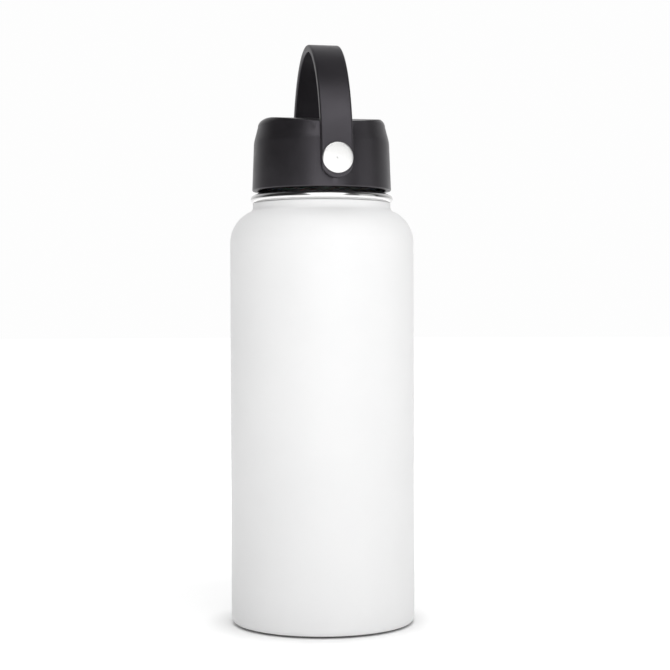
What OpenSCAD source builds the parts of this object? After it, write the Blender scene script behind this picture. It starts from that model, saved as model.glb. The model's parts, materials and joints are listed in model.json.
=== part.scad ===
// Insulated wide-mouth water bottle with a screw lid and a swinging carry strap.
// Millimetres. +Z is up along the bottle's axis, and the origin is the centre of the base.
// The strap swings about an axis along Y.

/* [Flask] */
// Outside radius of the painted body
body_r = 45; // [44:0.5:48]
// Height at which the straight wall ends and the shoulder begins
wall_top = 186.4; // [150:0.2:230]
// Radius of the arc that rounds the shoulder
shoulder_arc = 16.5; // [16:0.1:17]
// Outside radius of the painted neck
neck_r = 33.8; // [33.4:0.1:34]
// Height of the painted neck's top edge above the straight wall
neck_rise = 19.3; // [18.8:0.1:20]
// Radius of the rounded edge around the base
base_round = 3.5; // [3:0.1:4]
// Thickness of the steel walls
wall = 0.5; // [0.4:0.05:0.7]
// Width of the vacuum space between the two walls
vacuum_gap = 2.6; // [2.4:0.1:3]

/* [Mouth] */
// Inside radius of the mouth
mouth_r = 29.2; // [29:0.1:29.3]
// Outside radius of the polished collar
collar_r = 34.9; // [34.5:0.1:35.2]
// Height of the collar's rounded band
collar_h = 4; // [3.6:0.1:4.4]
// Height of the lip above the painted neck
lip_rise = 10.8; // [10.6:0.1:11.2]

/* [Thread] */
// Rise of the lid in one turn
thread_lead = 8; // [7.6:0.2:8.4]
// Number of turns that each thread start makes
thread_turns = 1; // [0.6:0.1:1]

/* [Lid] */
// Outside radius of the lid at the bottom of its skirt
skirt_r = 34.1; // [34:0.1:34.3]
// Outside radius of the lid where its bevel begins
bevel_low_r = 33.2; // [33:0.1:33.6]
// Outside radius of the lid at the top of its bevel
bevel_high_r = 31.3; // [31:0.1:31.8]
// Height of the lid from its skirt to the crest of its vaulted top
lid_h = 35.1; // [34.8:0.1:36]
// Radius of the vaulted top, which falls towards the two strap pivots
vault_r = 122; // [115:1:140]

/* [Strap] */
// Width of the strap
strap_w = 15.4; // [14.8:0.2:16]
// Thickness of the strap
strap_t = 3.5; // [3:0.1:3.6]
// Height of the strap's outer face above its pivots
strap_h = 58.3; // [56:0.1:62]
// Height of the strap's pivots above the lid's skirt
pivot_rise = 13.2; // [12.8:0.1:13.4]
// Radius of the round button over each pivot
button_r = 7.4; // [7:0.1:7.7]

/* [Hidden] */
$fn = 96;
fine = 180;      // segments of a full turn on the large round parts
cut = 1;         // overshoot of a cutting shape past the face it opens
front = 0;       // turn about Z that puts a pivot on the front, at -Y
back = 180;      // turn about Z that puts it on the back, at +Y

// Shell: the outer wall of the flask
neck_top = wall_top + neck_rise;
neck_fillet = 2.5;
base_opening_r = 37.5;

// Liner: the inner wall
liner_r = body_r - wall - vacuum_gap;
liner_z = 8;
liner_round = 8;
liner_arc = shoulder_arc - 1.5;
liner_wall_top = wall_top - 2.4;
liner_neck_r = mouth_r + wall;
liner_fillet = 3;
liner_seam_z = 22;
lip_z = neck_top + lip_rise;
lip_bead = 0.6;
foil_t = 0.15;
foil_inset = 2;

// Collar
collar_round = collar_h / 2;
collar_slope_h = 2.7;

// Base plate, and what sits on it
plate_rim_r = 40.5;
plate_step_r = 36.3;
plate_step_run = 1.1;
plate_z = 2.6;
dimple_r = 5.4;
dimple_run = 0.8;
dimple_h = 1.6;
pump_hole_r = 1.2;
seal_r = 3.6;
seal_h = 1;
base_disc_r = 10;
base_disc_t = 0.5;
getter_r = 5;
getter_h = 2;
getter_x = 18;

// Thread: two starts, with the plug's ribs halfway between the neck's
thread_starts = 2;
thread_steps = 60;
thread_fade = 0.08;   // share of a rib's length over which each end rises to full height
thread_blunt = 0.01;  // the same kind of share, by which the ends stop short of a knife edge
thread_root_w = 1.9;
thread_crest_w = 0.9;
neck_thread_z = lip_z - 13.5;
plug_thread_z = neck_thread_z - thread_lead / thread_starts / 2;
neck_thread_root_r = mouth_r + wall / 2;
neck_thread_crest_r = mouth_r - 1.2;

// Lid
skirt_z = neck_top + 6;
crest_z = skirt_z + lid_h;
bevel_low_z = skirt_z + 23.8;
crown_round = 4.1;
bevel_high_z = crest_z - crown_round - 0.1;
lid_bore_r = 31.6;
roof_t = 2.2;
lid_wall = 2;
vault_len = 100;

// Gasket and plug
gasket_inner_r = 27.7;
gasket_outer_r = 31.3;
gasket_round = 0.6;
gasket_z = lip_z + 0.05;
flange_z = lip_z + 1.5;
flange_top = flange_z + 1.6;
plug_r = 27.3;
plug_wall = 2.2;
plug_crest_r = plug_r + 1.5;
plug_root_r = plug_r - 0.4;
plug_z = lip_z - 20.5;
plug_cover_t = 2;
plug_spigot_h = 2;
foam_gap = 0.2;
foam_top = crest_z - 7.3;

// Pivots: distances from the bottle's axis, outwards along the pivot axis
pivot_z = skirt_z + pivot_rise;
boss_in = 26.8;
insert_in = 27;
insert_out = 33;
pad_in = 31.5;
pad_out = 33.9;
strap_in = 34.5;
strap_out = strap_in + strap_t;
head_in = strap_out + 0.15;
head_out = head_in + 0.7;
button_out = head_out + 0.5;
boss_r = 4.7;
pad_r = 6.5;
insert_r = 3.4;
shank_r = 2;
shoulder_r = 3;
shoulder_hole_r = 3.1;
washer_r = 5.5;
washer_t = 0.3;
head_r = 5;
bush_r = 4.4;
bush_bore_r = 3.06;
button_round = 0.6;

// Strap
strap_lobe_r = strap_w / 2;
strap_lobe_drop = 1.8;
strap_steps = 72;

// Half outline of a flask: rounded base edge, straight wall, shoulder arc, neck fillet and neck.
// It is drawn inset by i, so that two of them make a wall of even thickness.
module flask_outline(r, base, corner, arc, arc_z, neck, fillet, top, i = 0) {
    arc_x = r - arc;
    fillet_x = neck + fillet;
    fillet_z = arc_z + sqrt(pow(arc + fillet, 2) - pow(fillet_x - arc_x, 2));
    reach = (arc - i) / (arc + fillet);
    touch = [arc_x + (fillet_x - arc_x) * reach, arc_z + (fillet_z - arc_z) * reach];
    translate([0, base + i])
        square([r - corner, corner]);
    translate([r - corner, base + corner])
        circle(corner - i);
    translate([0, base + corner])
        square([r - i, arc_z - base - corner]);
    translate([arc_x, arc_z])
        circle(arc - i);
    translate([0, arc_z])
        square([neck - i, top - arc_z]);
    difference() {
        polygon([touch, [fillet_x, fillet_z], [arc_x, fillet_z], [arc_x, touch.y]]);
        translate([fillet_x, fillet_z])
            circle(fillet + i);
    }
}

module shell_outline(i = 0, over = 0)
    flask_outline(body_r, 0, base_round, shoulder_arc, wall_top, neck_r, neck_fillet,
        neck_top + over, i);

module liner_outline(i = 0, over = 0)
    flask_outline(liner_r, liner_z, liner_round, liner_arc, liner_wall_top, liner_neck_r,
        liner_fillet, lip_z + over, i);

module revolve()
    rotate_extrude($fn = fine)
        children();

// Places a child so that its Z runs outwards along the pivot axis
module at_pivot(side)
    rotate([0, 0, side])
        translate([0, 0, pivot_z])
            rotate([90, 0, 0])
                children();

module pivot_rod(r, from, to)
    translate([0, 0, from])
        cylinder(r = r, h = to - from);

// One helical rib, from its root radius to its crest radius, faded out at both ends
module thread_rib(root_r, crest_r, z) {
    sections = thread_steps * thread_turns;
    corners = 4;
    points = [
        for (k = [0 : sections])
            let (
                share = k / sections,
                turn = 360 * thread_turns * share,
                height = z + thread_lead * thread_turns * share,
                from_end = min(share, 1 - share) + thread_blunt,
                fade = min(1, from_end / thread_fade),
                tip = root_r + (crest_r - root_r) * fade
            )
            for (corner = [
                [root_r, -thread_root_w / 2], [tip, -thread_crest_w / 2],
                [tip, thread_crest_w / 2], [root_r, thread_root_w / 2]
            ])
                [corner.x * cos(turn), corner.x * sin(turn), height + corner.y]
    ];
    sides = [
        for (k = [0 : sections - 1], c = [0 : corners - 1])
            let (a = corners * k + c, b = corners * k + (c + 1) % corners)
            for (face = [[a, b, a + corners], [b, b + corners, a + corners]])
                face
    ];
    last = corners * sections;
    ends = [[0, 3, 2, 1], [last, last + 1, last + 2, last + 3]];
    faces = concat(sides, ends);
    inward = crest_r < root_r;
    polyhedron(points, inward ? [for (f = faces) [for (i = [len(f) - 1 : -1 : 0]) f[i]]] : faces);
}

module thread(root_r, crest_r, z)
    for (start = [0 : thread_starts - 1])
        rotate([0, 0, 360 * start / thread_starts])
            thread_rib(root_r, crest_r, z);

module outer_shell()
    color("white")
        revolve()
            difference() {
                shell_outline();
                shell_outline(wall, cut);
                translate([0, -cut])
                    square([base_opening_r, wall + 2 * cut]);
            }

module base_plate()
    color("silver")
        revolve()
            polygon([
                [pump_hole_r, plate_z + dimple_h],
                [dimple_r - dimple_run, plate_z + dimple_h],
                [dimple_r, plate_z],
                [plate_step_r - plate_step_run, plate_z],
                [plate_step_r, wall],
                [plate_rim_r, wall],
                [plate_rim_r, 2 * wall],
                [plate_step_r + wall, 2 * wall],
                [plate_step_r + wall - plate_step_run, plate_z + wall],
                [dimple_r + wall, plate_z + wall],
                [dimple_r + wall - dimple_run, plate_z + wall + dimple_h],
                [pump_hole_r, plate_z + wall + dimple_h]
            ]);

module base_disc()
    color("gainsboro")
        translate([0, 0, plate_z - base_disc_t])
            cylinder(r = base_disc_r, h = base_disc_t);

module vacuum_seal()
    color("gray")
        translate([0, 0, plate_z + dimple_h - seal_h]) {
            cylinder(r = seal_r, h = seal_h);
            cylinder(r = pump_hole_r, h = seal_h + wall);
        }

module vacuum_getter()
    color("dimgray")
        translate([getter_x, 0, plate_z + wall])
            cylinder(r = getter_r, h = getter_h);

module liner_base()
    color("silver")
        revolve()
            intersection() {
                difference() {
                    liner_outline();
                    liner_outline(wall);
                }
                square([body_r, liner_seam_z]);
            }

module inner_liner()
    color("silver") {
        revolve() {
            difference() {
                liner_outline();
                liner_outline(wall, cut);
                square([body_r, liner_seam_z]);
            }
            translate([liner_neck_r, lip_z - lip_bead])
                circle(lip_bead);
        }
        thread(neck_thread_root_r, neck_thread_crest_r, neck_thread_z);
    }

module liner_foil()
    color("peru")
        translate([0, 0, liner_seam_z + foil_inset])
            difference() {
                cylinder(r = liner_r + foil_t, h = liner_wall_top - liner_seam_z - 2 * foil_inset);
                translate([0, 0, -cut])
                    cylinder(r = liner_r, h = liner_wall_top);
            }

module mouth_collar()
    color("lightgray")
        revolve() {
            translate([liner_neck_r, neck_top])
                square([collar_r - collar_round - liner_neck_r, collar_h]);
            translate([collar_r - collar_round, neck_top + collar_round])
                circle(collar_round);
            polygon([
                [liner_neck_r, neck_top + collar_h],
                [collar_r - collar_round, neck_top + collar_h],
                [liner_neck_r, neck_top + collar_h + collar_slope_h]
            ]);
        }

module lid_gasket()
    color("lightslategray")
        revolve() {
            translate([gasket_inner_r + gasket_round, gasket_z])
                square([gasket_outer_r - gasket_inner_r - 2 * gasket_round, flange_z - gasket_z]);
            for (r = [gasket_inner_r + gasket_round, gasket_outer_r - gasket_round]) {
                translate([r, gasket_z + gasket_round])
                    circle(gasket_round);
                translate([r - gasket_round, gasket_z + gasket_round])
                    square([2 * gasket_round, flange_z - gasket_z - gasket_round]);
            }
        }

// Everything under the lid's vaulted top, thinned by t
module under_vault(t)
    translate([0, 0, crest_z - vault_r])
        rotate([0, 90, 0])
            cylinder(r = vault_r - t, h = vault_len, center = true, $fn = fine);

module lid_body()
    intersection() {
        revolve() {
            polygon([
                [0, skirt_z], [skirt_r, skirt_z], [bevel_low_r, bevel_low_z],
                [bevel_high_r, bevel_high_z], [0, bevel_high_z]
            ]);
            translate([0, skirt_z])
                square([bevel_high_r - crown_round, lid_h]);
            translate([bevel_high_r - crown_round, crest_z - crown_round])
                circle(crown_round);
        }
        under_vault(0);
    }

module lid_hollow()
    intersection() {
        revolve()
            polygon([
                [0, skirt_z - cut],
                [lid_bore_r, skirt_z - cut],
                [lid_bore_r, flange_top],
                [bevel_low_r - lid_wall, bevel_low_z],
                [bevel_high_r - lid_wall, bevel_high_z - lid_wall],
                [bevel_high_r - crown_round, crest_z],
                [0, crest_z]
            ]);
        under_vault(roof_t);
    }

module lid_shell()
    color([0.13, 0.12, 0.13])
        difference() {
            union() {
                difference() {
                    lid_body();
                    lid_hollow();
                }
                for (side = [front, back])
                    at_pivot(side) {
                        pivot_rod(boss_r, boss_in, pad_out);
                        pivot_rod(pad_r, pad_in, pad_out);
                    }
            }
            for (side = [front, back])
                at_pivot(side) {
                    pivot_rod(insert_r, boss_in - cut, insert_out);
                    pivot_rod(shoulder_hole_r, insert_out - cut, pad_out + cut);
                }
        }

module plug_sleeve()
    color([0.16, 0.16, 0.17]) {
        revolve()
            polygon([
                [plug_r - plug_wall, plug_z + plug_cover_t],
                [plug_r, plug_z + plug_cover_t],
                [plug_r, flange_z],
                [lid_bore_r, flange_z],
                [lid_bore_r, flange_top],
                [plug_r - plug_wall, flange_top]
            ]);
        thread(plug_root_r, plug_crest_r, plug_thread_z);
    }

module plug_foam()
    color("khaki")
        translate([0, 0, plug_z + plug_cover_t + plug_spigot_h])
            cylinder(
                r = plug_r - plug_wall - foam_gap,
                h = foam_top - plug_z - plug_cover_t - plug_spigot_h
            );

module plug_cover()
    color([0.18, 0.18, 0.19])
        translate([0, 0, plug_z]) {
            cylinder(r = plug_r, h = plug_cover_t);
            cylinder(r = plug_r - plug_wall, h = plug_cover_t + plug_spigot_h);
        }

module pivot_insert(side)
    color("darkgoldenrod")
        at_pivot(side)
            difference() {
                pivot_rod(insert_r, insert_in, insert_out);
                pivot_rod(shank_r, insert_in - cut, insert_out + cut);
            }

module pivot_screw(side)
    color("gainsboro")
        at_pivot(side) {
            pivot_rod(shank_r, insert_in, insert_out);
            pivot_rod(shoulder_r, insert_out, head_in);
            pivot_rod(head_r, head_in, head_out);
        }

module pivot_washer(side)
    color("ivory")
        at_pivot(side)
            difference() {
                pivot_rod(washer_r, pad_out, pad_out + washer_t);
                pivot_rod(shoulder_hole_r, pad_out - cut, pad_out + washer_t + cut);
            }

module button_cap(side)
    color("whitesmoke")
        at_pivot(side)
            difference() {
                rotate_extrude() {
                    translate([0, head_in])
                        square([button_r, button_out - button_round - head_in]);
                    translate([0, head_in])
                        square([button_r - button_round, button_out - head_in]);
                    translate([button_r - button_round, button_out - button_round])
                        circle(button_round);
                }
                pivot_rod(head_r, head_in - cut, head_out);
            }

module strap() {
    outer = [for (k = [0 : strap_steps])
        [strap_out * cos(180 * k / strap_steps), strap_h * sin(180 * k / strap_steps)]];
    inner = [for (k = [strap_steps : -1 : 0])
        [strap_in * cos(180 * k / strap_steps), (strap_h - strap_t) * sin(180 * k / strap_steps)]];
    arms = [[strap_out, -strap_lobe_drop], [-strap_out, -strap_lobe_drop]];
    feet = [[-strap_in, -strap_lobe_drop], [strap_in, -strap_lobe_drop]];
    color([0.1, 0.1, 0.11])
        difference() {
            union() {
                translate([-strap_w / 2, 0, pivot_z])
                    rotate([90, 0, 90])
                        linear_extrude(strap_w)
                            polygon(concat([arms[0]], outer, [arms[1], feet[0]], inner, [feet[1]]));
                for (side = [front, back])
                    at_pivot(side)
                        translate([0, -strap_lobe_drop, 0])
                            pivot_rod(strap_lobe_r, strap_in, strap_out);
            }
            for (side = [front, back])
                at_pivot(side)
                    pivot_rod(bush_r, strap_in - cut, strap_out + cut);
        }
}

module strap_bush(side)
    color("silver")
        at_pivot(side)
            difference() {
                pivot_rod(bush_r, strap_in, strap_out);
                pivot_rod(bush_bore_r, strap_in - cut, strap_out + cut);
            }

outer_shell();
base_plate();
base_disc();
vacuum_seal();
vacuum_getter();
inner_liner();
liner_base();
liner_foil();
mouth_collar();
lid_gasket();
lid_shell();
plug_sleeve();
plug_foam();
plug_cover();
pivot_insert(front);  // pivot_insert_front
pivot_insert(back);  // pivot_insert_back
pivot_screw(front);  // pivot_screw_front
pivot_screw(back);  // pivot_screw_back
pivot_washer(front);  // pivot_washer_front
pivot_washer(back);  // pivot_washer_back
button_cap(front);  // button_cap_front
button_cap(back);  // button_cap_back
strap();
strap_bush(front);  // strap_bush_front
strap_bush(back);  // strap_bush_back
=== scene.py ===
"""Studio scene of an insulated water bottle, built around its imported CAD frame.

Lengths are in metres, in the frame of the CAD model: +Z up, origin at the centre of the base,
strap pivots along Y. Finer meshes of the same size replace most of the pieces that can be seen,
and the other pieces keep their CAD mesh.
"""
import json
import math

import bmesh
import bpy
from mathutils import Matrix, Vector


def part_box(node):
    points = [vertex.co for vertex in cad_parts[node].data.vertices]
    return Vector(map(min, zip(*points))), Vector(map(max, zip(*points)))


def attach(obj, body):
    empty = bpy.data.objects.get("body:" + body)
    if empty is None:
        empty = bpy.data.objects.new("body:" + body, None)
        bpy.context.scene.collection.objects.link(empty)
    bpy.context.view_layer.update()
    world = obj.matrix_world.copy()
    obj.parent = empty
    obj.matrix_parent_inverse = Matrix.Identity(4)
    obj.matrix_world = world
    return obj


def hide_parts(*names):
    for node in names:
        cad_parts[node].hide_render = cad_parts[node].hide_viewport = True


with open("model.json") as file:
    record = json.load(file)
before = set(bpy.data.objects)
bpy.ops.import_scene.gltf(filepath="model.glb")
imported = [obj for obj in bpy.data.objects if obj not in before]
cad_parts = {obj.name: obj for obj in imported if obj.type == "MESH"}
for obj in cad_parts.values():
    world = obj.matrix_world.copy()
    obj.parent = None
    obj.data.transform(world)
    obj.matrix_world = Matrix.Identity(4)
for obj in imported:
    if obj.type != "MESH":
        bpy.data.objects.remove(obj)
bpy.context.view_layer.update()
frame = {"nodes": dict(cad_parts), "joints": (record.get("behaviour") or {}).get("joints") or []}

MM = 0.001
SEGMENTS = 256                    # steps round a full turn on the large round pieces

# ------------------------------------------------------------------ sizes from the frame
shell_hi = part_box("outer_shell")[1]
collar_lo, collar_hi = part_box("mouth_collar")
lid_lo, lid_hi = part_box("lid_shell")
strap_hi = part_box("strap")[1]
liner_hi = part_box("inner_liner")[1]
base_lo, base_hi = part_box("liner_base")
gasket_lo, gasket_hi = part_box("lid_gasket")
sleeve_lo, sleeve_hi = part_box("plug_sleeve")
cover_lo, cover_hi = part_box("plug_cover")
plate_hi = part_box("base_plate")[1]
disc_lo, disc_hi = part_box("base_disc")
button_lo, button_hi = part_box("button_cap_back")
joints = {joint["name"]: joint for joint in frame["joints"]}
pivot_z = joints["strap_swing"]["pos_m"][2]

# Sizes that a box doesn't give: the CAD model's own, and finer roundings and stampings
WALL = 0.5 * MM
BASE_ROUND = 3.5 * MM
BASE_OPENING = 37.5 * MM
PAINTED_SHADE_TOP = 1.1 * MM               # below this the base's edge gets a dark steel that paints the contact shade there
SHOULDER_ARC = 16.5 * MM
WALL_TOP = 186.4 * MM
NECK_R = 33.8 * MM
NECK_FILLET = 2.5 * MM
COLLAR_BEAD = 2 * MM              # radius of the collar's half-round bead

PLATE_STEP_R = 36.3 * MM
PLATE_Z = 2.6 * MM
PLATE_RING_RISE = 0.5 * MM
PLATE_EDGE = 0.35 * MM            # rounding of the plate's bends
DIMPLE_R = 5.4 * MM
DIMPLE_TOP = 4.2 * MM
PUMP_HOLE_R = 1.2 * MM

VACUUM_GAP = 2.6 * MM
LINER_R = shell_hi.x - WALL - VACUUM_GAP
LINER_ROUND = 8 * MM
LINER_ARC = 15 * MM
LINER_WALL_TOP = 184 * MM
LINER_FILLET = 3 * MM
MOUTH_R = 29.2 * MM
LIP_BEAD = 0.6 * MM

THREAD_LEAD = 8 * MM
THREAD_STARTS = 2
THREAD_ROOT_W = 1.9 * MM
THREAD_CREST_W = 0.9 * MM
THREAD_FADE = 0.08                # share of the rib over which each end fades out
NECK_THREAD_DEPTH = 1.2 * MM
PLUG_THREAD_DEPTH = 1.5 * MM
NECK_THREAD_Z = liner_hi.z - 13.5 * MM
PLUG_THREAD_Z = NECK_THREAD_Z - THREAD_LEAD / THREAD_STARTS / 2

BEVEL_LOW = (33.2 * MM, lid_lo.z + 23.8 * MM)
BEVEL_HIGH = (31.3 * MM, lid_hi.z - 4.2 * MM)
LID_BORE_R = 31.6 * MM
LID_WALL = 2 * MM
ROOF = 2.2 * MM
CROWN_ROUND = 4.1 * MM
VAULT_R = 122 * MM
PAD_R = 6.5 * MM
PAD_IN, PAD_OUT = 31.5 * MM, 33.9 * MM
SCREW_HOLE_R = 3.1 * MM

PLUG_R = 27.3 * MM
PLUG_WALL = 2.2 * MM
FLANGE_T = 1.6 * MM
PLUG_COVER_T = 2 * MM
GASKET_INNER_R = 27.7 * MM
GASKET_GROOVE = 0.35 * MM
STRAP_W = 15.4 * MM
STRAP_T = 3.5 * MM
STRAP_EDGE = 0.9 * MM             # rounding of the strap's long edges
LOBE_R = STRAP_W / 2
LOBE_DROP = 1.8 * MM
BUSH_R = 4.4 * MM
SCREW_HEAD_R = 5 * MM

PHOTO_AZIMUTH = -11.5             # degrees: the near pivot is turned to the right of centre
STAGE_R = 9                       # reach of the floor and the backdrop
STAGE_WHITE = 0.985               # glow of the backdrop and of the far floor
FLOOR_GLOW = 0.26                 # glow of the floor around the bottle
WHITE = (1, 1, 1, 1)
PURPLISH = (0.957, 0.905, 1.0, 1)  # tint of the lid's and the strap's gloss

# Brightness of the room: by degrees round from the camera's side, and by degrees above the
# horizon, on the camera's side and behind the bottle
ROOM_AROUND = [
    (-180, 0.95), (-160, 0.85), (-140, 0.62), (-118, 0.30), (-105, 0.04), (-45, 0.04), (-30, 0.18),
    (45, 0.18), (60, 0.04), (100, 0.04), (135, 0.62), (160, 0.85), (180, 0.95),
]
ROOM_FRONT_UP = [(-90, 1.0), (0, 1.0), (45, 0.7), (75, 0.3), (90, 0.15)]
ROOM_BACK_UP = [(-90, 1.0), (0, 1.0), (30, 0.95), (60, 0.6), (80, 0.2), (90, 0.15)]


# ------------------------------------------------------------------ geometry helpers
def arc(centre, radius, start, end, steps=10):
    """Points on an arc in the (radius, height) plane; angles in degrees."""
    points = []
    for k in range(steps + 1):
        angle = math.radians(start + (end - start) * k / steps)
        points.append((centre[0] + radius * math.cos(angle), centre[1] + radius * math.sin(angle)))
    return points


def corner(before, point, after, size, steps=6):
    """A rounded corner at point: a quadratic curve that starts and ends size away from it."""
    p = Vector(point)
    start = p + (Vector(before) - p).normalized() * size
    end = p + (Vector(after) - p).normalized() * size
    curve = []
    for k in range(steps + 1):
        t = k / steps
        curve.append(tuple(start * (1 - t) ** 2 + p * 2 * t * (1 - t) + end * t ** 2))
    return curve


def rounded(corners, steps=6):
    """A closed outline of (radius, height, rounding) corners, with each corner rounded."""
    outline = []
    count = len(corners)
    for k, (r, z, size) in enumerate(corners):
        if size:
            outline += corner(corners[k - 1][:2], (r, z), corners[(k + 1) % count][:2], size, steps)
        else:
            outline.append((r, z))
    return outline


def finish_mesh(name, bm, crease=32):
    """Turns a bmesh into an object with outward normals, smooth but for edges sharper than crease."""
    bmesh.ops.recalc_face_normals(bm, faces=bm.faces)
    mesh = bpy.data.meshes.new(name)
    bm.to_mesh(mesh)
    bm.free()
    mesh.polygons.foreach_set("use_smooth", [True] * len(mesh.polygons))
    mesh.set_sharp_from_angle(angle=math.radians(crease))
    piece = bpy.data.objects.new(name, mesh)
    bpy.context.scene.collection.objects.link(piece)
    return piece


def ring_mesh(name, rows, loop, crease=32):
    """Joins rows of points with faces. A row of one point is a pole, and loop joins the last row
    to the first.
    """
    bm = bmesh.new()
    rings = [[bm.verts.new(p) for p in row] for row in rows]
    pairs = list(zip(rings, rings[1:])) + ([(rings[-1], rings[0])] if loop else [])
    for low, high in pairs:
        count = max(len(low), len(high))
        for k in range(count):
            after = k + 1
            ends = [low[k % len(low)], low[after % len(low)]]
            ends += [high[after % len(high)], high[k % len(high)]]
            bm.faces.new(list(dict.fromkeys(ends)))
    return finish_mesh(name, bm, crease)


def lathe(name, profile, radial=None, segments=SEGMENTS, crease=32):
    """Turns a (radius, height) profile about Z. A closed profile off the axis is a ring; one that
    starts and ends on the axis is a solid of its own. radial(r, z, turn) may move a point in or out.
    """
    rows = []
    for r, z in profile:
        if r < 1e-7:
            rows.append([(0, 0, z)])
            continue
        row = []
        for k in range(segments):
            turn = 2 * math.pi * k / segments
            reach = radial(r, z, turn) if radial else r
            row.append((reach * math.cos(turn), reach * math.sin(turn), z))
        rows.append(row)
    loop = len(rows[0]) > 1
    return ring_mesh(name, rows, loop, crease)


def subdivided(profile, longest):
    """The profile with extra points, so that no step is longer than longest."""
    points = []
    for (r0, z0), (r1, z1) in zip(profile, profile[1:] + profile[:1]):
        steps = max(1, math.ceil(math.hypot(r1 - r0, z1 - z0) / longest))
        points += [(r0 + (r1 - r0) * k / steps, z0 + (z1 - z0) * k / steps) for k in range(steps)]
    return points


def boolean(piece, cutter, operation):
    """Applies a boolean with a throwaway object."""
    modifier = piece.modifiers.new(operation, "BOOLEAN")
    modifier.operation = operation
    modifier.solver = "EXACT"
    modifier.object = cutter
    bpy.context.view_layer.update()
    depsgraph = bpy.context.evaluated_depsgraph_get()
    mesh = bpy.data.meshes.new_from_object(piece.evaluated_get(depsgraph))
    piece.modifiers.remove(modifier)
    old = piece.data
    piece.data = mesh
    bpy.data.meshes.remove(old)
    bpy.data.objects.remove(cutter)


def pivot_matrix(side):
    """Takes a piece turned about Z to a pivot: its Z runs outwards, to -Y (side -1) or +Y (side 1)."""
    return Matrix.Translation((0, 0, pivot_z)) @ Matrix.Rotation(math.radians(-90 * side), 4, "X")


def place(piece, matrix):
    piece.data.transform(matrix)
    if matrix.determinant() < 0:
        piece.data.flip_normals()


def pivot_rod(radius, start, end, side, edge=0.0):
    """A round rod along a pivot axis, between two distances from the bottle's axis."""
    profile = [(0, start), (radius, start)]
    if edge:
        profile += corner((radius, start), (radius, end), (0, end), edge, 4)
    else:
        profile.append((radius, end))
    rod = lathe("rod", profile + [(0, end)], segments=96)
    place(rod, pivot_matrix(side))
    return rod


# ------------------------------------------------------------------ materials
class Shader:
    """A Principled material, with short calls for the nodes that the materials here share."""

    def __init__(self, name, **sockets):
        self.material = bpy.data.materials.new(name)
        self.material.use_nodes = True
        self.nodes = self.material.node_tree.nodes
        self.links = self.material.node_tree.links
        self.bsdf = self.nodes["Principled BSDF"]
        for socket, value in sockets.items():
            self.bsdf.inputs[socket.replace("_", " ")].default_value = value

    def node(self, kind, inputs=None, **settings):
        made = self.nodes.new(kind)
        for key, value in settings.items():
            setattr(made, key, value)
        for key, value in (inputs or {}).items():
            if isinstance(value, bpy.types.NodeSocket):
                self.links.new(value, made.inputs[key])
            else:
                made.inputs[key].default_value = value
        return made

    def math(self, operation, a, b=0.0):
        return self.node("ShaderNodeMath", {0: a, 1: b}, operation=operation).outputs[0]

    def place(self):
        """The point on the piece, in the piece's own coordinates."""
        return self.node("ShaderNodeTexCoord").outputs["Object"]

    def noise(self, vector, scale, detail=4.0, roughness=0.55):
        inputs = {"Vector": vector, "Scale": scale, "Detail": detail, "Roughness": roughness}
        return self.node("ShaderNodeTexNoise", inputs).outputs["Fac"]

    def cells(self, vector, scale):
        inputs = {"Vector": vector, "Scale": scale}
        return self.node("ShaderNodeTexVoronoi", inputs).outputs["Distance"]

    def range(self, value, low, high, from_low=0.3, from_high=0.7):
        """value, spread from one range to another."""
        inputs = {"Value": value, "From Min": from_low, "From Max": from_high, "To Min": low, "To Max": high}
        return self.node("ShaderNodeMapRange", inputs).outputs["Result"]

    def colour(self, value, *stops):
        """A ramp of (position, colour) stops."""
        made = self.node("ShaderNodeValToRGB", {"Fac": value})
        ramp = made.color_ramp
        while len(ramp.elements) < len(stops):
            ramp.elements.new(0.5)
        for element, (position, rgb) in zip(ramp.elements, stops):
            element.position = position
            element.color = (*rgb, 1)
        return made.outputs["Color"]

    def turned(self, axis="Z", spread=1.0, centre=(0, 0, 0)):
        """Coordinates in which a noise looks like lathe or brushing marks round an axis."""
        parts = self.node("ShaderNodeSeparateXYZ", {"Vector": self.place()})
        along = {"X": 0, "Y": 1, "Z": 2}[axis]
        across = [k for k in range(3) if k != along]
        offsets = [self.math("SUBTRACT", parts.outputs[k], centre[k]) for k in across]
        squares = [self.math("MULTIPLY", o, o) for o in offsets]
        radius = self.math("SQRT", self.math("ADD", *squares))
        angle = self.math("ARCTAN2", *offsets)
        around = self.math("MULTIPLY", self.math("COSINE", angle), spread * MM)
        made = self.node("ShaderNodeCombineXYZ", {0: radius, 1: parts.outputs[along], 2: around})
        return made.outputs[0]

    def bump(self, height, distance, strength=1.0, normal=None):
        inputs = {"Height": height, "Distance": distance, "Strength": strength}
        if normal:
            inputs["Normal"] = normal
        return self.node("ShaderNodeBump", inputs).outputs["Normal"]

    def set(self, **sockets):
        for socket, value in sockets.items():
            self.links.new(value, self.bsdf.inputs[socket.replace("_", " ")])


def powder_coat():
    """White powder coat: a soft orange peel with a fine grain over it."""
    s = Shader("powder_coat", IOR=1.5)
    tint = s.noise(s.place(), 18, 3)
    s.set(Base_Color=s.colour(tint, (0.3, (0.809, 0.810, 0.811)), (0.7, (0.837, 0.837, 0.837))))
    peel = s.noise(s.place(), 520, 2)
    grain = s.noise(s.place(), 2600, 3)
    s.set(Roughness=s.range(s.noise(s.place(), 60, 4), 0.44, 0.52))
    s.set(Normal=s.bump(grain, 0.012 * MM, 0.5, s.bump(peel, 0.03 * MM, 0.5)))
    return s.material


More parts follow.
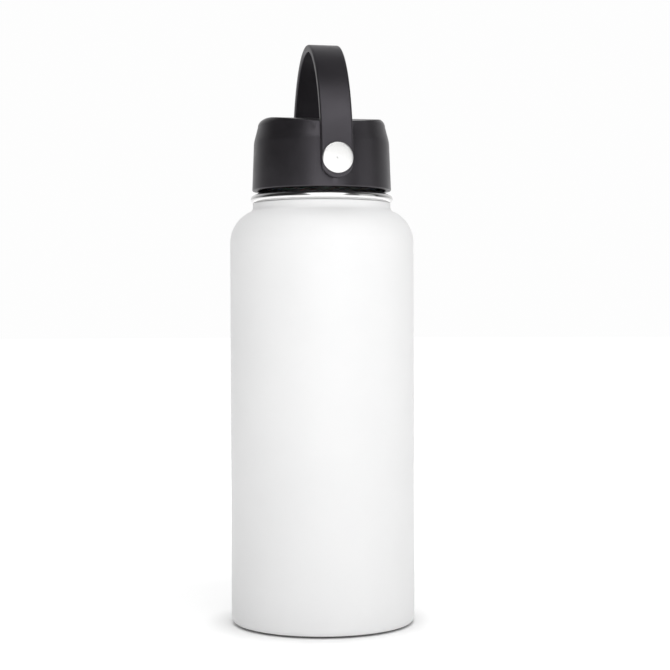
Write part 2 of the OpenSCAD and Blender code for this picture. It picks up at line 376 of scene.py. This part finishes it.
def polished_steel():
    """Polished collar: near-mirror steel with faint lathe lines."""
    s = Shader("polished_steel", Metallic=1.0)
    lines = s.noise(s.turned(spread=2), 2200, 5, 0.6)
    tint = s.noise(s.place(), 90, 3)
    s.set(Base_Color=s.colour(tint, (0.3, (0.70, 0.695, 0.69)), (0.7, (0.76, 0.755, 0.75))))
    s.set(Roughness=s.range(lines, 0.10, 0.19))
    s.set(Normal=s.bump(lines, 0.004 * MM, 0.4))
    return s.material


def brushed_steel(name, axis, centre=(0, 0, 0), base=0.62, rough=(0.26, 0.38), line_depth=0.01):
    """Steel with brushing marks round an axis."""
    s = Shader(name, Metallic=1.0)
    lines = s.noise(s.turned(axis, 3, centre), 1800, 6, 0.7)
    tint = s.noise(s.place(), 70, 4)
    dark, light = base * 0.95, base * 1.04
    s.set(Base_Color=s.colour(
        tint,
        (0.3, (dark, dark * 0.995, dark * 0.985)),
        (0.7, (light, light, light * 0.99)),
    ))
    s.set(Roughness=s.range(lines, *rough))
    s.set(Normal=s.bump(lines, line_depth * MM, 0.5))
    return s.material


def moulded_plastic(name, colour, rough, grain_scale=1500, grain_depth=0.02, ior=1.5, gloss=WHITE):
    """Moulded plastic with a fine spark-eroded grain and slight changes of gloss."""
    s = Shader(name, IOR=ior, Specular_Tint=gloss)
    tint = s.noise(s.place(), 45, 4)
    s.set(Base_Color=s.colour(
        tint,
        (0.3, tuple(c * 0.85 for c in colour)),
        (0.7, tuple(c * 1.15 for c in colour)),
    ))
    grain = s.noise(s.place(), grain_scale, 3, 0.6)
    s.set(Roughness=s.range(s.noise(s.place(), 120, 5), *rough))
    s.set(Normal=s.bump(grain, grain_depth * MM, 0.5))
    return s.material


def silicone():
    s = Shader("silicone", IOR=1.41, Subsurface_Weight=0.25, Subsurface_Scale=0.002)
    tint = s.noise(s.place(), 150, 4)
    s.set(Base_Color=s.colour(tint, (0.3, (0.46, 0.47, 0.48)), (0.7, (0.54, 0.55, 0.56))))
    s.set(Roughness=s.range(s.noise(s.place(), 700, 4), 0.42, 0.6))
    s.set(Normal=s.bump(s.noise(s.place(), 1400, 3), 0.02 * MM, 0.4))
    return s.material


def foam():
    s = Shader("foam", Roughness=0.9)
    cells = s.cells(s.place(), 900)
    s.set(Base_Color=s.colour(cells, (0.0, (0.62, 0.56, 0.40)), (0.7, (0.86, 0.81, 0.66))))
    s.set(Normal=s.bump(cells, 0.25 * MM, 0.8))
    return s.material


def copper_foil():
    s = Shader("copper_foil", Metallic=1.0)
    wrinkles = s.noise(s.place(), 160, 6, 0.65)
    s.set(Base_Color=s.colour(wrinkles, (0.3, (0.72, 0.36, 0.22)), (0.7, (0.90, 0.56, 0.40))))
    s.set(Roughness=s.range(wrinkles, 0.22, 0.4))
    s.set(Normal=s.bump(wrinkles, 0.3 * MM, 0.7))
    return s.material


def brass():
    s = Shader("brass", Metallic=1.0)
    lines = s.noise(s.turned("Y", 3, (0, 0, pivot_z)), 2000, 5, 0.7)
    s.set(Base_Color=s.colour(lines, (0.3, (0.66, 0.49, 0.22)), (0.7, (0.82, 0.65, 0.34))))
    s.set(Roughness=s.range(lines, 0.24, 0.4))
    s.set(Normal=s.bump(lines, 0.01 * MM, 0.5))
    return s.material


def glass_solder():
    s = Shader("glass_solder", IOR=1.6)
    spots = s.cells(s.place(), 1500)
    s.set(Base_Color=s.colour(spots, (0.1, (0.05, 0.05, 0.048)), (0.7, (0.16, 0.16, 0.15))))
    s.set(Roughness=s.range(spots, 0.18, 0.4, 0, 0.8))
    s.set(Normal=s.bump(spots, 0.05 * MM, 0.5))
    return s.material


PIVOT_CENTRE = (0, 0, pivot_z)
POWDER = powder_coat()
POLISHED = polished_steel()
TURNED = brushed_steel("turned_steel", "Z")
BUTTON = brushed_steel("button_steel", "Y", PIVOT_CENTRE, 0.76, (0.30, 0.42), 0.006)
HARDWARE = brushed_steel("hardware_steel", "Y", PIVOT_CENTRE)
# Dark steel for the lowest band of the base: its darkness is a painted contact shade
PAINTED_SHADE_STEEL = brushed_steel("painted_contact_shade", "Z", base=0.2, rough=(0.40, 0.55))
LID = moulded_plastic("lid_plastic", (0.0100, 0.0092, 0.0104), (0.30, 0.38), ior=1.62, gloss=PURPLISH)
PLUG = moulded_plastic("plug_plastic", (0.020, 0.020, 0.021), (0.38, 0.50))
STRAP = moulded_plastic("strap_rubber", (0.0130, 0.0120, 0.0138), (0.34, 0.44), 2200, 0.015, 1.62, PURPLISH)
NYLON = moulded_plastic("nylon", (0.70, 0.69, 0.64), (0.45, 0.6))
SILICONE = silicone()
FOAM = foam()
FOIL = copper_foil()
BRASS = brass()
SOLDER = glass_solder()


def finish_piece(piece, material, slot, body, *nodes):
    """Gives a new piece its material, hides the CAD pieces it stands for, and hangs it on its body."""
    piece.data.materials.clear()
    piece.data.materials.append(material)
    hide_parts(*nodes)
    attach(piece, body)
    return piece


# ------------------------------------------------------------------ the flask
def flask_side(radius, base, base_round, shoulder, shoulder_z, neck, fillet, top, inset):
    """One side of a flask's wall, from its base to its neck, inset from the nominal surface."""
    shoulder_c = Vector((radius - shoulder, shoulder_z))
    fillet_x = neck + fillet
    rise = math.sqrt((shoulder + fillet) ** 2 - (fillet_x - shoulder_c.x) ** 2)
    fillet_c = Vector((fillet_x, shoulder_z + rise))
    lean = math.degrees(math.atan2(rise, fillet_x - shoulder_c.x))
    side = arc((radius - base_round, base + base_round), base_round - inset, -90, 0, 12)
    side += arc(shoulder_c, shoulder - inset, 0, lean, 28)
    side += arc(fillet_c, fillet + inset, lean + 180, 180, 10)[1:]
    side.append((neck - inset, top))
    return side


def outer_shell():
    def side(inset):
        wall = flask_side(
            shell_hi.x, 0, BASE_ROUND, SHOULDER_ARC, WALL_TOP, NECK_R, NECK_FILLET, shell_hi.z, inset
        )
        return [(BASE_OPENING, inset)] + wall

    outside = side(0)
    paint_edge = corner(outside[-2], outside[-1], (0, shell_hi.z), 0.35 * MM, 4)
    piece = lathe("painted_shell", outside[:-1] + paint_edge + side(WALL)[::-1])
    finish_piece(piece, POWDER, "powder_coat", "bottle", "outer_shell")
    # The lowest faces get the dark steel, a painted contact shade along the base's edge
    piece.data.materials.append(PAINTED_SHADE_STEEL)
    for face in piece.data.polygons:
        face.material_index = int(face.center.z < PAINTED_SHADE_TOP)
    return piece


def thread_height(z, turn, start_z):
    """Share of a thread rib's full depth at a height and an angle, for one-turn ribs."""
    height = 0.0
    for start in range(THREAD_STARTS):
        share = (turn / (2 * math.pi) - start / THREAD_STARTS) % 1.0
        off = abs(z - start_z - THREAD_LEAD * share)
        flank = (THREAD_ROOT_W / 2 - off) / ((THREAD_ROOT_W - THREAD_CREST_W) / 2)
        fade = min(1.0, share / THREAD_FADE, (1 - share) / THREAD_FADE)
        height = max(height, min(1.0, max(0.0, flank)) * fade)
    return height


def inner_liner():
    """The liner's wall above its seam, with the rolled lip and the thread in the neck."""
    lip_z = liner_hi.z
    neck = MOUTH_R + WALL

    def side(inset, top):
        wall = flask_side(
            LINER_R, base_lo.z, LINER_ROUND, LINER_ARC, LINER_WALL_TOP, neck, LINER_FILLET, top, inset
        )
        return [(LINER_R - inset, base_hi.z)] + [p for p in wall if p[1] > base_hi.z]

    bead = arc((neck, lip_z - LIP_BEAD), LIP_BEAD, -60, 170, 20)
    outside = side(0, lip_z - 2 * LIP_BEAD)
    inside = side(WALL, lip_z - 2 * LIP_BEAD)[::-1]
    neck_bottom = next(z for r, z in inside if r > MOUTH_R + WALL / 10)
    low = [p for p in inside if p[1] <= neck_bottom]
    steps = 64
    thread_rows = [
        (MOUTH_R, inside[0][1] + (neck_bottom - inside[0][1]) * k / steps) for k in range(steps)
    ]

    def radial(r, z, turn):
        if abs(r - MOUTH_R) > WALL / 20 or z > inside[0][1]:
            return r
        return r - NECK_THREAD_DEPTH * thread_height(z, turn, NECK_THREAD_Z)

    piece = lathe("steel_liner", outside + bead + thread_rows + low, radial)
    return finish_piece(piece, TURNED, "brushed_steel", "bottle", "inner_liner")


def mouth_collar():
    """The polished collar: a half-round bead, and a slope from it up to the lip."""
    r, low, high = collar_hi.x, collar_lo.z, collar_hi.z
    bead = COLLAR_BEAD
    inner = MOUTH_R + WALL
    outline = [(inner, low)] + arc((r - bead, low + bead), bead, -90, 90, 28)
    bead_top = low + 2 * bead
    outline += corner((r - bead, bead_top), (r - bead - 0.6 * MM, bead_top), (inner, high), 0.5 * MM)
    outline += [(inner, high)]
    piece = lathe("polished_collar", outline)
    return finish_piece(piece, POLISHED, "polished_steel", "bottle", "mouth_collar")


def base_plate():
    """The pressed plate in the base, with a stamped ring and a central dimple."""
    rim, z = plate_hi.x, PLATE_Z
    ring_z = z + PLATE_RING_RISE
    under = [
        (PUMP_HOLE_R, DIMPLE_TOP), (4.6 * MM, DIMPLE_TOP), (DIMPLE_R, z), (22 * MM, z), (23 * MM, ring_z),
        (26 * MM, ring_z), (27 * MM, z), (35.2 * MM, z), (PLATE_STEP_R, WALL), (rim, WALL),
    ]
    last = len(under) - 1
    under = [(r, h, PLATE_EDGE if 0 < k < last else 0) for k, (r, h) in enumerate(under)]
    over = []
    for r, h, size in reversed(under):
        outwards = WALL * 0.5 if r < rim and h < 4 * MM else 0
        over.append((r + outwards, h + WALL, size))
    piece = lathe("base_plate_pressed", rounded(under + over, 4))
    return finish_piece(piece, TURNED, "brushed_steel", "bottle", "base_plate")


def base_disc():
    low, high, r = disc_lo.z, disc_hi.z, disc_hi.x
    profile = [(0, low + 0.1 * MM), (r - 1.5 * MM, low + 0.1 * MM), (r - 1 * MM, low)]
    profile += corner((0, low), (r, low), (r, high), 0.25 * MM, 4) + [(r, high), (0, high)]
    piece = lathe("base_cover_disc", profile)
    return finish_piece(piece, TURNED, "brushed_steel", "bottle", "base_disc")


# ------------------------------------------------------------------ the lid
def vault(y):
    """Height of the lid's vaulted top at a distance y from its crest line."""
    return lid_hi.z - VAULT_R + math.sqrt(VAULT_R ** 2 - y ** 2)


def crown_meets_vault(turn):
    """The angle on the crown's rounding, from its top, at which the vault cuts it."""
    centre = (BEVEL_HIGH[0] - CROWN_ROUND, lid_hi.z - CROWN_ROUND)
    low, high = 0.0, math.pi / 2
    for _ in range(40):
        middle = (low + high) / 2
        r = centre[0] + CROWN_ROUND * math.sin(middle)
        if centre[1] + CROWN_ROUND * math.cos(middle) > vault(r * math.sin(turn)):
            low = middle
        else:
            high = middle
    return centre, low


def lid_profile(turn):
    """The lid's outline at one angle, from the roof's underside, round the skirt, to the top."""
    crown_c, lean = crown_meets_vault(turn)
    edge = (crown_c[0] + CROWN_ROUND * math.sin(lean), crown_c[1] + CROWN_ROUND * math.cos(lean))
    step = 3 * MM
    inward = (edge[0] - step, vault((edge[0] - step) * math.sin(turn)))
    crown = arc(crown_c, CROWN_ROUND, 0, 90 - math.degrees(lean), 12)
    before = crown[-2] if lean < 1.5 else BEVEL_HIGH
    underside = BEVEL_HIGH[0] - CROWN_ROUND
    inner = [(underside * k / 8, vault(underside * k / 8 * math.sin(turn)) - ROOF) for k in range(1, 9)]
    skirt_z = lid_lo.z
    inner += [
        (BEVEL_HIGH[0] - LID_WALL, BEVEL_HIGH[1] - LID_WALL),
        (BEVEL_LOW[0] - LID_WALL, BEVEL_LOW[1]),
        (LID_BORE_R, skirt_z + 8 * MM),
    ]
    inner += corner((LID_BORE_R, BEVEL_LOW[1]), (LID_BORE_R, skirt_z), (lid_hi.x, skirt_z), 0.4 * MM)
    side = corner((LID_BORE_R, skirt_z), (lid_hi.x, skirt_z), BEVEL_LOW, 0.7 * MM)
    side += corner((lid_hi.x, skirt_z), BEVEL_LOW, BEVEL_HIGH, 1.6 * MM, 8)
    rim = corner(before, edge, inward, 0.45 * MM, 6)
    below_rim = [p for p in crown if p[1] < rim[0][1] - 0.02 * MM]
    while len(below_rim) < len(crown):
        last = below_rim[-1] if below_rim else BEVEL_HIGH
        below_rim.append(((last[0] + rim[0][0]) / 2, (last[1] + rim[0][1]) / 2))
    rows = 20
    top = [
        (rim[-1][0] * (1 - k / rows), vault(rim[-1][0] * (1 - k / rows) * math.sin(turn)))
        for k in range(1, rows)
    ]
    return inner + side + below_rim + rim + top


def lid_shell():
    turns = [2 * math.pi * k / SEGMENTS for k in range(SEGMENTS)]
    profiles = [lid_profile(turn) for turn in turns]
    rows = [[(0, 0, lid_hi.z - ROOF)]]
    for level in range(len(profiles[0])):
        rows.append([
            (profile[level][0] * math.cos(turn), profile[level][0] * math.sin(turn), profile[level][1])
            for turn, profile in zip(turns, profiles)
        ])
    rows.append([(0, 0, lid_hi.z)])
    piece = ring_mesh("moulded_lid", rows, loop=False, crease=40)
    for side in (-1, 1):
        boolean(piece, pivot_rod(PAD_R, PAD_IN, PAD_OUT, side, 0.3 * MM), "UNION")
        boolean(piece, pivot_rod(SCREW_HOLE_R, PAD_IN - 5 * MM, PAD_OUT + MM, side), "DIFFERENCE")
    piece.data.set_sharp_from_angle(angle=math.radians(40))
    return finish_piece(piece, LID, "lid_plastic", "lid", "lid_shell")


def plug_sleeve():
    """The plug's threaded sleeve and flange."""
    low, high, flange_low = sleeve_lo.z, sleeve_hi.z, sleeve_hi.z - FLANGE_T
    inner = PLUG_R - PLUG_WALL
    outline = rounded([
        (inner, low, 0.2 * MM), (PLUG_R, low, 0.4 * MM), (PLUG_R, flange_low, 0.3 * MM),
        (sleeve_hi.x, flange_low, 0.3 * MM), (sleeve_hi.x, high, 0), (inner, high, 0),
    ])
    outline = subdivided(outline, 0.25 * MM)

    def radial(r, z, turn):
        if abs(r - PLUG_R) > 0.02 * MM:
            return r
        return r + PLUG_THREAD_DEPTH * thread_height(z, turn, PLUG_THREAD_Z)

    piece = lathe("threaded_sleeve", outline, radial)
    return finish_piece(piece, PLUG, "plug_plastic", "lid", "plug_sleeve")


def plug_cover():
    low, high, r = cover_lo.z, cover_hi.z, PLUG_R
    step = low + PLUG_COVER_T
    spigot = r - PLUG_WALL
    profile = [(0, low + 0.6 * MM), (17 * MM, low + 0.6 * MM), (19 * MM, low)]
    profile += corner((0, low), (r, low), (r, step), 0.8 * MM, 6)
    profile += [(r, step), (spigot, step), (spigot, high), (0, high)]
    piece = lathe("plug_end_cover", profile)
    return finish_piece(piece, PLUG, "plug_plastic", "lid", "plug_cover")


def lid_gasket():
    """The sealing ring, with two ribs that press on the lip."""
    inner, outer = GASKET_INNER_R, gasket_hi.x
    low, high = gasket_lo.z, gasket_hi.z
    middle = (inner + outer) / 2
    outline = rounded([
        (inner, low + GASKET_GROOVE, 0.2 * MM), (inner + 0.5 * MM, low, 0.3 * MM),
        (middle - 0.6 * MM, low, 0.3 * MM), (middle, low + GASKET_GROOVE, 0.3 * MM),
        (middle + 0.6 * MM, low, 0.3 * MM), (outer - 0.5 * MM, low, 0.3 * MM),
        (outer, low + GASKET_GROOVE, 0.2 * MM), (outer, high, 0.25 * MM), (inner, high, 0.25 * MM),
    ], 4)
    piece = lathe("sealing_ring", outline)
    return finish_piece(piece, SILICONE, "gasket_rubber", "lid_seal", "lid_gasket")


# ------------------------------------------------------------------ the strap and its buttons
def strap_path(share):
    """Outer and inner surface points (y, height above the pivots) along the arch, share from 0 to 1."""
    angle = math.pi * share
    outer = Vector((-strap_hi.y * math.cos(angle), (strap_hi.z - pivot_z) * math.sin(angle)))
    inner = Vector((
        -(strap_hi.y - STRAP_T) * math.cos(angle),
        (strap_hi.z - pivot_z - STRAP_T) * math.sin(angle),
    ))
    return outer, inner


def strap_stations():
    """Stations along the strap: outer point, inner point, half width, height from the lobe's centre."""
    lobe_steps, arch_steps = 22, 220
    lobe = []
    for k in range(1, lobe_steps + 1):
        angle = math.radians(90 * k / lobe_steps)
        lobe.append((-LOBE_R * math.cos(angle), LOBE_R * math.sin(angle)))
    foot = [
        (Vector((-strap_hi.y, h - LOBE_DROP)), Vector((-strap_hi.y + STRAP_T, h - LOBE_DROP)), w, h)
        for h, w in lobe
    ]
    arch = []
    for k in range(arch_steps + 1):
        outer, inner = strap_path(k / arch_steps)
        arch.append((outer, inner, LOBE_R, min(outer.y, inner.y) + LOBE_DROP))
    mirrored = [
        (Vector((-o.x, o.y)), Vector((-i.x, i.y)), w, h) for o, i, w, h in reversed(foot)
    ]
    return foot + arch + mirrored


def strap():
    """The arched strap: a flat band with rounded edges and round ends, and an eye at each pivot."""
    columns = 28
    bm = bmesh.new()
    outer_rows, inner_rows = [], []
    for outer, inner, width, rise in strap_stations():
        outer_row, inner_row = [], []
        through = (inner - outer).normalized()
        for c in range(columns + 1):
            x = width * math.sin(math.pi / 2 * (2 * c / columns - 1))
            to_edge = width - abs(x)
            if rise < 0:
                to_edge = LOBE_R - math.hypot(x, rise)
            gap = STRAP_EDGE - min(STRAP_EDGE, max(0.0, to_edge))
            inset = STRAP_EDGE - math.sqrt(STRAP_EDGE ** 2 - gap ** 2)
            o, i = outer + through * inset, inner - through * inset
            outer_row.append(bm.verts.new((x, o.x, pivot_z + o.y)))
            inner_row.append(bm.verts.new((x, i.x, pivot_z + i.y)))
        outer_rows.append(outer_row)
        inner_rows.append(inner_row)
    for rows in (outer_rows, inner_rows):
        for a, b in zip(rows, rows[1:]):
            for c in range(columns):
                bm.faces.new((a[c], a[c + 1], b[c + 1], b[c]))
    for c in (0, columns):
        for k in range(len(outer_rows) - 1):
            low, high = (outer_rows[k], inner_rows[k]), (outer_rows[k + 1], inner_rows[k + 1])
            bm.faces.new((low[0][c], high[0][c], high[1][c], low[1][c]))
    for k in (0, -1):
        for c in range(columns):
            bm.faces.new((outer_rows[k][c], outer_rows[k][c + 1], inner_rows[k][c + 1], inner_rows[k][c]))
    piece = finish_mesh("carry_strap_band", bm, 40)
    for side in (-1, 1):
        eye = pivot_rod(BUSH_R, strap_hi.y - STRAP_T - MM, strap_hi.y + MM, side)
        boolean(piece, eye, "DIFFERENCE")
    piece.data.set_sharp_from_angle(angle=math.radians(40))
    return finish_piece(piece, STRAP, "strap_rubber", "carry_strap", "strap")


def button_cap(side, node):
    """A slightly crowned steel button with a rounded rim and a small centre mark."""
    r = button_hi.x
    low, high = button_lo.y, button_hi.y
    pocket = low + 0.7 * MM
    crown = 0.2 * MM
    face = [(r * share, high - crown * share ** 2) for share in (0.85, 0.7, 0.55, 0.4, 0.25, 0.12)]
    profile = [(0, pocket), (SCREW_HEAD_R, pocket), (SCREW_HEAD_R, low)]
    profile += corner((0, low), (r, low), (r, high), 0.2 * MM, 4)
    profile += corner((r, low), (r, high - crown), (0, high - crown * 0.7), 0.75 * MM, 10)
    profile += face
    profile += [(0.55 * MM, high - 0.01 * MM), (0.42 * MM, high - 0.08 * MM), (0, high - 0.10 * MM)]
    piece = lathe("pivot_" + node, profile, segments=128, crease=50)
    place(piece, pivot_matrix(side))
    return finish_piece(piece, BUTTON, "brushed_steel", "lid", node)


outer_shell()
inner_liner()
mouth_collar()
base_plate()
base_disc()
lid_shell()
plug_sleeve()
plug_cover()
lid_gasket()
strap()
button_cap(-1, "button_cap_front")
button_cap(1, "button_cap_back")

# Pieces that keep their CAD mesh, and the material of each
CAD_FINISH = {
    "liner_base": TURNED, "vacuum_getter": TURNED, "vacuum_seal": SOLDER, "liner_foil": FOIL,
    "plug_foam": FOAM,
    "pivot_insert_front": BRASS, "pivot_insert_back": BRASS,
    "pivot_screw_front": HARDWARE, "pivot_screw_back": HARDWARE,
    "pivot_washer_front": NYLON, "pivot_washer_back": NYLON,
    "strap_bush_front": HARDWARE, "strap_bush_back": HARDWARE,
}
for node_name, node_material in CAD_FINISH.items():
    node_object = frame["nodes"][node_name]
    node_object.data.materials.clear()
    node_object.data.materials.append(node_material)


# ------------------------------------------------------------------ the studio
def photo_camera():
    """A camera a little over mid-height, aimed just right of the bottle and slightly down."""
    distance, height = 0.79, 0.152
    turn = math.radians(PHOTO_AZIMUTH)
    camera = bpy.data.cameras.new("camera")
    camera.lens, camera.sensor_width = 86.2, 36
    eye = bpy.data.objects.new("camera", camera)
    bpy.context.scene.collection.objects.link(eye)
    eye.location = (math.sin(turn) * distance, -math.cos(turn) * distance, height)
    pan, tilt, roll = math.radians(-0.46), math.radians(-0.79), math.radians(0.2)
    eye.rotation_euler = (math.pi / 2 + tilt, roll, turn + pan)
    bpy.context.scene.camera = eye


def soft_box(name, azimuth, elevation, distance, size, power, mirrored=True):
    """A rectangular light aimed a little above the bottle's middle. It is hidden from the camera
    itself and, unless mirrored, from reflections. Azimuth is from the camera's side.
    """
    light = bpy.data.lights.new(name, "AREA")
    light.shape = "RECTANGLE"
    light.size, light.size_y = size
    light.energy = power
    lamp = bpy.data.objects.new(name, light)
    bpy.context.scene.collection.objects.link(lamp)
    a, e = math.radians(azimuth + PHOTO_AZIMUTH), math.radians(elevation)
    aim = Vector((0, 0, 0.16))
    away = Vector((math.sin(a) * math.cos(e), -math.cos(a) * math.cos(e), math.sin(e)))
    lamp.location = aim + away * distance
    lamp.rotation_mode = "QUATERNION"
    lamp.rotation_quaternion = away.to_track_quat("Z", "Y")
    lamp.visible_camera = False
    lamp.visible_glossy = mirrored


def studio_world():
    """White behind the bottle, with a dimmer room on the camera's side for the steel to reflect."""
    world = bpy.data.worlds.new("studio")
    world.use_nodes = True
    bpy.context.scene.world = world
    nodes, links = world.node_tree.nodes, world.node_tree.links

    def node(kind, *inputs, **settings):
        made = nodes.new(kind)
        for key, value in settings.items():
            setattr(made, key, value)
        for k, value in enumerate(inputs):
            if isinstance(value, bpy.types.NodeSocket):
                links.new(value, made.inputs[k])
            elif value is not None:
                made.inputs[k].default_value = value
        return made

    def ramp(angle, stops):
        """The level at an angle in radians, from stops in degrees."""
        low, high = stops[0][0], stops[-1][0]
        share = node("ShaderNodeMapRange", angle, math.radians(low), math.radians(high))
        made = node("ShaderNodeValToRGB", share.outputs["Result"])
        while len(made.color_ramp.elements) < len(stops):
            made.color_ramp.elements.new(0.5)
        for element, (degrees, level) in zip(made.color_ramp.elements, stops):
            element.position = (degrees - low) / (high - low)
            element.color = (level, level, level, 1)
        return made.outputs["Color"]

    direction = node("ShaderNodeTexCoord").outputs["Generated"]
    turned = node("ShaderNodeMapping", direction)
    turned.inputs["Rotation"].default_value[2] = math.radians(-PHOTO_AZIMUTH)
    parts = node("ShaderNodeSeparateXYZ", turned.outputs[0])
    towards = node("ShaderNodeMath", parts.outputs["Y"], -1.0, operation="MULTIPLY")
    azimuth = node("ShaderNodeMath", parts.outputs["X"], towards.outputs[0], operation="ARCTAN2")
    elevation = node("ShaderNodeMath", parts.outputs["Z"], operation="ARCSINE")
    around = ramp(azimuth.outputs[0], ROOM_AROUND)
    front = ramp(elevation.outputs[0], ROOM_FRONT_UP)
    back = ramp(elevation.outputs[0], ROOM_BACK_UP)
    behind = node("ShaderNodeMapRange", parts.outputs["Y"], -0.2, 0.2).outputs["Result"]
    rise = node("ShaderNodeMixRGB", behind, front, back)
    level = node("ShaderNodeMixRGB", 1.0, around, rise.outputs[0], blend_type="MULTIPLY")
    links.new(level.outputs[0], nodes["Background"].inputs["Color"])


def stage():
    """A white floor, darker under and round the bottle where its glow fades out as a painted contact shadow,
    and a white dome that only the camera sees.
    """
    bm = bmesh.new()
    bmesh.ops.create_grid(bm, x_segments=8, y_segments=8, size=STAGE_R)
    floor = finish_mesh("floor", bm)
    floor.location.z = -0.05 * MM
    s = Shader("floor_white", Roughness=0.8)
    s.bsdf.inputs["Emission Color"].default_value = (1, 1, 1, 1)
    tint = s.colour(s.noise(s.place(), 3, 3), (0.3, (0.90, 0.90, 0.90)), (0.7, (0.92, 0.92, 0.92)))
    distance = s.node("ShaderNodeVectorMath", {0: s.place()}, operation="LENGTH").outputs["Value"]
    fade = s.range(distance, 1.0, 0.0, 0.3, 1.3)
    s.set(Base_Color=s.node("ShaderNodeMixRGB", {0: fade, 1: (0, 0, 0, 1), 2: tint}).outputs["Color"])
    # The glow fades out towards the base: a painted contact shadow round the bottle
    glow_with_painted_shadow = s.range(distance, 0.0, FLOOR_GLOW, 0.036, 0.060)
    far_glow = s.range(distance, 0.0, STAGE_WHITE - FLOOR_GLOW, 0.12, 0.6)
    s.set(Emission_Strength=s.math("ADD", glow_with_painted_shadow, far_glow))
    floor.data.materials.append(s.material)

    bm = bmesh.new()
    bmesh.ops.create_uvsphere(bm, u_segments=48, v_segments=24, radius=STAGE_R)
    dome = finish_mesh("backdrop", bm)
    white = Shader("backdrop_white", Roughness=1.0, Emission_Strength=STAGE_WHITE)
    white.bsdf.inputs["Base Color"].default_value = (0, 0, 0, 1)
    white.bsdf.inputs["Specular IOR Level"].default_value = 0
    white.bsdf.inputs["Emission Color"].default_value = (1, 1, 1, 1)
    dome.data.materials.append(white.material)
    for ray in ("diffuse", "glossy", "transmission", "volume_scatter", "shadow"):
        setattr(dome, "visible_" + ray, False)


photo_camera()
studio_world()
stage()
soft_box("low_softbox", 9, 2, 1.1, (1.15, 0.45), 2.5)
soft_box("high_softbox", 9, 40, 1.1, (1.15, 0.6), 4.1)
soft_box("right_softbox", 79, 15, 1.2, (0.7, 1.0), 1.15)
soft_box("left_fill", -80, 35, 1.3, (0.9, 0.9), 1.2, mirrored=False)
soft_box("right_fill", 80, 35, 1.3, (0.9, 0.9), 0.8, mirrored=False)
soft_box("overhead_fill", 0, 88, 1.2, (1.0, 1.0), 8.6, mirrored=False)
bpy.context.scene.view_settings.view_transform = "Standard"
